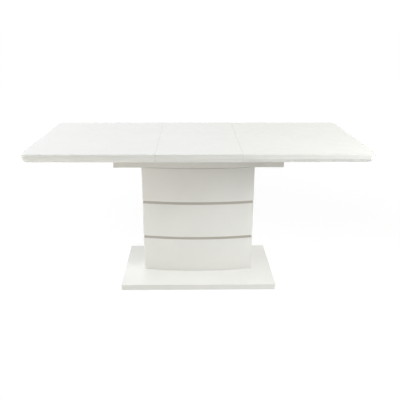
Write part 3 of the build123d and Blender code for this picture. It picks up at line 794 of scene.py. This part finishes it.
def screw():
    """A pan head screw: its head stands up from z = 0, with a cross recess, and its thread down."""
    rings = []
    rows = round(SCREW_LENGTH / SCREW_PITCH * THREAD_ROWS)
    for row in range(rows + 1):
        z = SCREW_LENGTH * (row / rows - 1)
        slimness = min(1.0, 0.1 + 0.9 * (z + SCREW_LENGTH) / SCREW_POINT)
        ring = []
        for x, y in circle(1):
            phase = (z / SCREW_PITCH - math.atan2(y, x) / math.tau) % 1
            crest = max(0.0, 1 - 3 * abs(phase - 0.5))
            radius = (SCREW_CORE + (SCREW_CREST - SCREW_CORE) * crest) * slimness
            ring.append((x * radius, y * radius, z))
        rings.append(ring)
    rim = [(SCREW_HEAD_RADIUS, 0), (SCREW_HEAD_RADIUS, SCREW_HEAD_HEIGHT), (0, SCREW_HEAD_HEIGHT)]
    profile = [(SCREW_HEAD_RADIUS, 0)] + corner_arc(*rim, SCREW_HEAD_ROUND, 6)
    for radius, z in profile:
        rings.append([(x * radius, y * radius, z) for x, y in circle(1)])
    work = loft(rings)
    work.faces.ensure_lookup_table()
    top = work.faces[-1]
    rim_edges = list(top.edges)
    bmesh.ops.delete(work, geom=[top], context="FACES_ONLY")
    upper = [(x, y, SCREW_HEAD_HEIGHT) for x, y in cross(RECESS_HALF_WIDTH, RECESS_REACH)]
    floor_level = SCREW_HEAD_HEIGHT - RECESS_DEPTH
    lower = [(x * RECESS_TAPER, y * RECESS_TAPER, floor_level) for x, y, z in upper]
    mouth = [work.verts.new(point) for point in upper]
    bottom = [work.verts.new(point) for point in lower]
    mouth_edges = []
    for i, corner in enumerate(mouth):
        j = (i + 1) % len(mouth)
        work.faces.new((corner, mouth[j], bottom[j], bottom[i]))
        mouth_edges.append(work.edges.get((corner, mouth[j])))
    work.faces.new(bottom)
    bmesh.ops.triangle_fill(work, use_beauty=True, edges=rim_edges + mouth_edges, normal=(0, 0, 1))
    return work


def screw_place(node, low, high):
    """Where a screw's own frame goes: its axis is its box's longest side, its head the wide end."""
    size = high - low
    axis = max(range(3), key=lambda k: size[k])
    middle = (low + high) / 2
    head_levels = []
    for vert in frame["nodes"][node].data.vertices:
        inside = all(low[k] - MM < vert.co[k] < high[k] + MM for k in range(3))
        from_axis = vert.co - middle
        from_axis[axis] = 0
        if inside and from_axis.length > SCREW_HEAD_TEST:
            head_levels.append(vert.co[axis])
    head_is_high = sum(head_levels) / len(head_levels) > middle[axis]
    along = Vector((0, 0, 0))
    along[axis] = 1 if head_is_high else -1
    seat = middle.copy()
    seat[axis] = high[axis] - SCREW_HEAD_HEIGHT if head_is_high else low[axis] + SCREW_HEAD_HEIGHT
    turn = along.to_track_quat("Z", "Y").to_matrix().to_4x4()
    return Matrix.Translation(seat) @ turn


for node in ("bracket_screws", "fixed_rail_screws", "left_rail_screws", "right_rail_screws"):
    places = [screw_place(node, low, high) for low, high in solids_of(node)]
    piece(f"{node}_pan_head", joined(screw(), places), (ZINC,), (node,))
for side in ("left", "right"):
    for row in ("front", "back"):
        for kind in ("fixed", "moving"):
            rail = f"{side}_{row}_{kind}_rail"
            refined(rail, f"{rail}_rolled", (SLIDE,), RAIL_ARRIS)
        batten = f"{side}_{row}_batten"
        refined(batten, f"{batten}_planed", (BEECH_ALONG,), BOARD_ARRIS)
    refined(f"{side}_brace", f"{side}_brace_planed", (BEECH_ACROSS,), BOARD_ARRIS)
    dress(f"{side}_ball_cages", SLIDE)


# ---------------------------------------------------------------- floor, light and camera
def hide(thing, *rays):
    """Makes an object invisible to some kinds of ray."""
    for ray in rays:
        setattr(thing, f"visible_{ray}", False)


def pale_floor(name, height, albedo, near_glow, far_glow, hole=0):
    """A wide pale floor that also glows, from near to far; a hole leaves out its middle."""
    mesh = bpy.data.meshes.new(name)
    plan = rectangle(-FLOOR_REACH, FLOOR_REACH, -FLOOR_REACH, FLOOR_REACH)
    faces = [(0, 1, 2, 3)]
    if hole:
        plan += rectangle(-hole, hole, -hole, hole)
        faces = [(i, (i + 1) % 4, (i + 1) % 4 + 4, i + 4) for i in range(4)]
    mesh.from_pydata([(x, y, height) for x, y in plan], [], faces)
    floor = bpy.data.objects.new(name, mesh)
    scene.collection.objects.link(floor)
    material, tree, shader = new_material(name, (albedo,) * 3, 0.9, Specular_IOR_Level=0.0)
    shader.inputs["Emission Color"].default_value = (1, 1, 1, 1)
    place = tree.nodes.new("ShaderNodeTexCoord")
    away = tree.nodes.new("ShaderNodeVectorMath")
    away.operation = "LENGTH"
    tree.links.new(place.outputs["Object"], away.inputs[0])
    glow = spread(tree, away.outputs["Value"], near_glow, far_glow, 1.5, 4.0)
    tree.links.new(glow, shader.inputs["Emission Strength"])
    mesh.materials.append(material)
    return floor


def softbox(name, location, size, strength, colour=(1, 1, 1), aim=(0, 0, 0.5)):
    """A square area light that faces the table, or another point; only its light shows."""
    lamp = bpy.data.lights.new(name, "AREA")
    lamp.shape = "SQUARE"
    lamp.size = size
    lamp.energy = strength
    lamp.color = colour
    holder = bpy.data.objects.new(name, lamp)
    scene.collection.objects.link(holder)
    holder.location = location
    holder.rotation_euler = (Vector(aim) - Vector(location)).to_track_quat("-Z", "Y").to_euler()
    hide(holder, "camera", "glossy")


# The floor in view glows to a clean white; a plain one just below it lights the table instead.
# The lamps don't reach far out, so there a third, glowing floor is what the table's gloss shows
seen_floor = pale_floor("seen_floor", 0, 0.15, 0.9, 1.0)
hide(seen_floor, "diffuse", "glossy", "transmission", "shadow")
lighting_floor = pale_floor("lighting_floor", -1 * MM, 0.9, 0, 0)
hide(lighting_floor, "camera")
gloss_floor = pale_floor("gloss_floor", 0, 0.15, 0.65, 0.65, 3.8)
hide(gloss_floor, "camera", "diffuse", "transmission", "shadow")

softbox("left", (-3.2, 0, 1.6), 2.0, 67, (0.975, 0.985, 1))
softbox("right", (3.2, 0, 1.6), 2.0, 22.5, (1, 0.98, 0.91))
softbox("near_right", (1.9, -1.3, 1.5), 0.9, 32.5)
softbox("front", (0, -3.6, 3.6), 2.4, 20.5, (0.92, 0.985, 1))
softbox("front_left", (-1.9, -2.0, 3.2), 1.6, 31, (0.87, 0.96, 1))
softbox("low_warm", (-2.2, -2.8, 0.8), 1.6, 9.6, (1, 0.76, 0.28))
softbox("floor_glow", (-0.85, -0.85, 0.03), 0.7, 1.7, aim=(-0.85, -0.85, 1))
for name, x, strength in (("back_left", -2.0, 34), ("back_right", 2.0, 10)):
    softbox(name, (x, 2.8, 0.6), 1.0, strength)

# The studio's walls show only behind the table and in its gloss. They are brightest at the floor
# and in a band just above the table, a little warmer on the right, and darker in front
world = bpy.data.worlds.new("studio")
world.use_nodes = True
sky = world.node_tree
direction = sky.nodes.new("ShaderNodeTexCoord")
split = sky.nodes.new("ShaderNodeSeparateXYZ")
sky.links.new(direction.outputs["Generated"], split.inputs["Vector"])
band = ramp(
    sky,
    split.outputs["Z"],
    [
        (0.14, (1, 1, 1)),
        (0.16, (0.85,) * 3),
        (0.18, (0.873,) * 3),
        (0.235, (1, 1, 1)),
        (0.4, (0.866,) * 3),
    ],
)
left_to_right = spread(sky, split.outputs["X"], 0, 1, -0.5, 0.5)
sides = ramp(sky, left_to_right, [(0.48, (1, 1, 0.985)), (0.6, (0.965, 0.965, 0.915))])
front_to_back = spread(sky, split.outputs["Y"], 0, 1, -0.6, -0.35)
ends = ramp(sky, front_to_back, [(0, (0.72,) * 3), (1, (1, 1, 1))])
walls = sky.nodes["Background"]
tint = mix(sky, 1.0, mix(sky, 1.0, band, sides, "MULTIPLY"), ends, "MULTIPLY")
sky.links.new(tint, walls.inputs["Color"])
walls.inputs["Strength"].default_value = 1.466
world.cycles_visibility.diffuse = False
scene.world = world
scene.view_settings.view_transform = "Standard"

# The camera stands in front of the table, a little to its left, and looks down on it
CAMERA_PLACE = (-0.0340, -2.7745, 1.3156)
CAMERA_YAW = 0.0163
CAMERA_PITCH = 0.35808
CAMERA_ROLL = 0.0019
LENS = 48.89
SHIFT_UP = 0.0562

camera_data = bpy.data.cameras.new("camera")
camera_data.sensor_width = 36
camera_data.lens = LENS
camera_data.shift_y = SHIFT_UP
camera = bpy.data.objects.new("camera", camera_data)
scene.collection.objects.link(camera)
aim = Matrix.Rotation(-CAMERA_YAW, 3, "Z") @ Matrix.Rotation(math.pi / 2 - CAMERA_PITCH, 3, "X")
camera.matrix_world = Matrix.Translation(CAMERA_PLACE) @ (
    aim @ Matrix.Rotation(CAMERA_ROLL, 3, "Z")
).to_4x4()
scene.camera = camera
